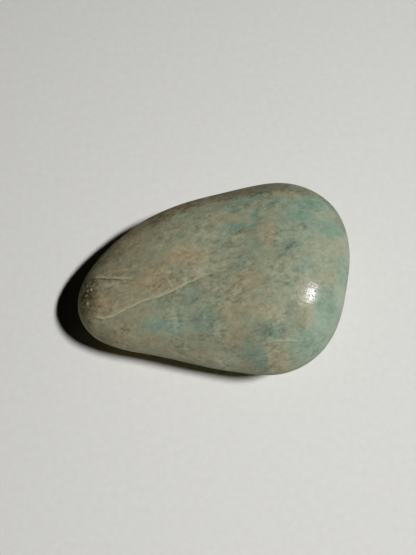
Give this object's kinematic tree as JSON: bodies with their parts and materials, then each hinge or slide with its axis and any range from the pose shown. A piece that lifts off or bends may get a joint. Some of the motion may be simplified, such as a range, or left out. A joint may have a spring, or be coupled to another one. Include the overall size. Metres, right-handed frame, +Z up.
{
  "type": "tumbled stone",
  "caption": "Smooth drop-shaped tumbled stone of mottled green and tan feldspar, flat enough underneath to lie still.",
  "frame": {"origin": "middle of the stone's outline, on the surface that it rests on", "axes": "+X along the stone's length towards its broad end, +Y across its width, +Z up through its thickness"},
  "size_m": [0.0452, 0.0326, 0.0166],
  "materials": {
    "amazonite": "tumble-polished feldspar, satin gloss over fine pits, mottled grey-green, teal and tan"
  },
  "bodies": {
    "root": {"amazonite_stone": "amazonite"}
  },
  "joints": []
}
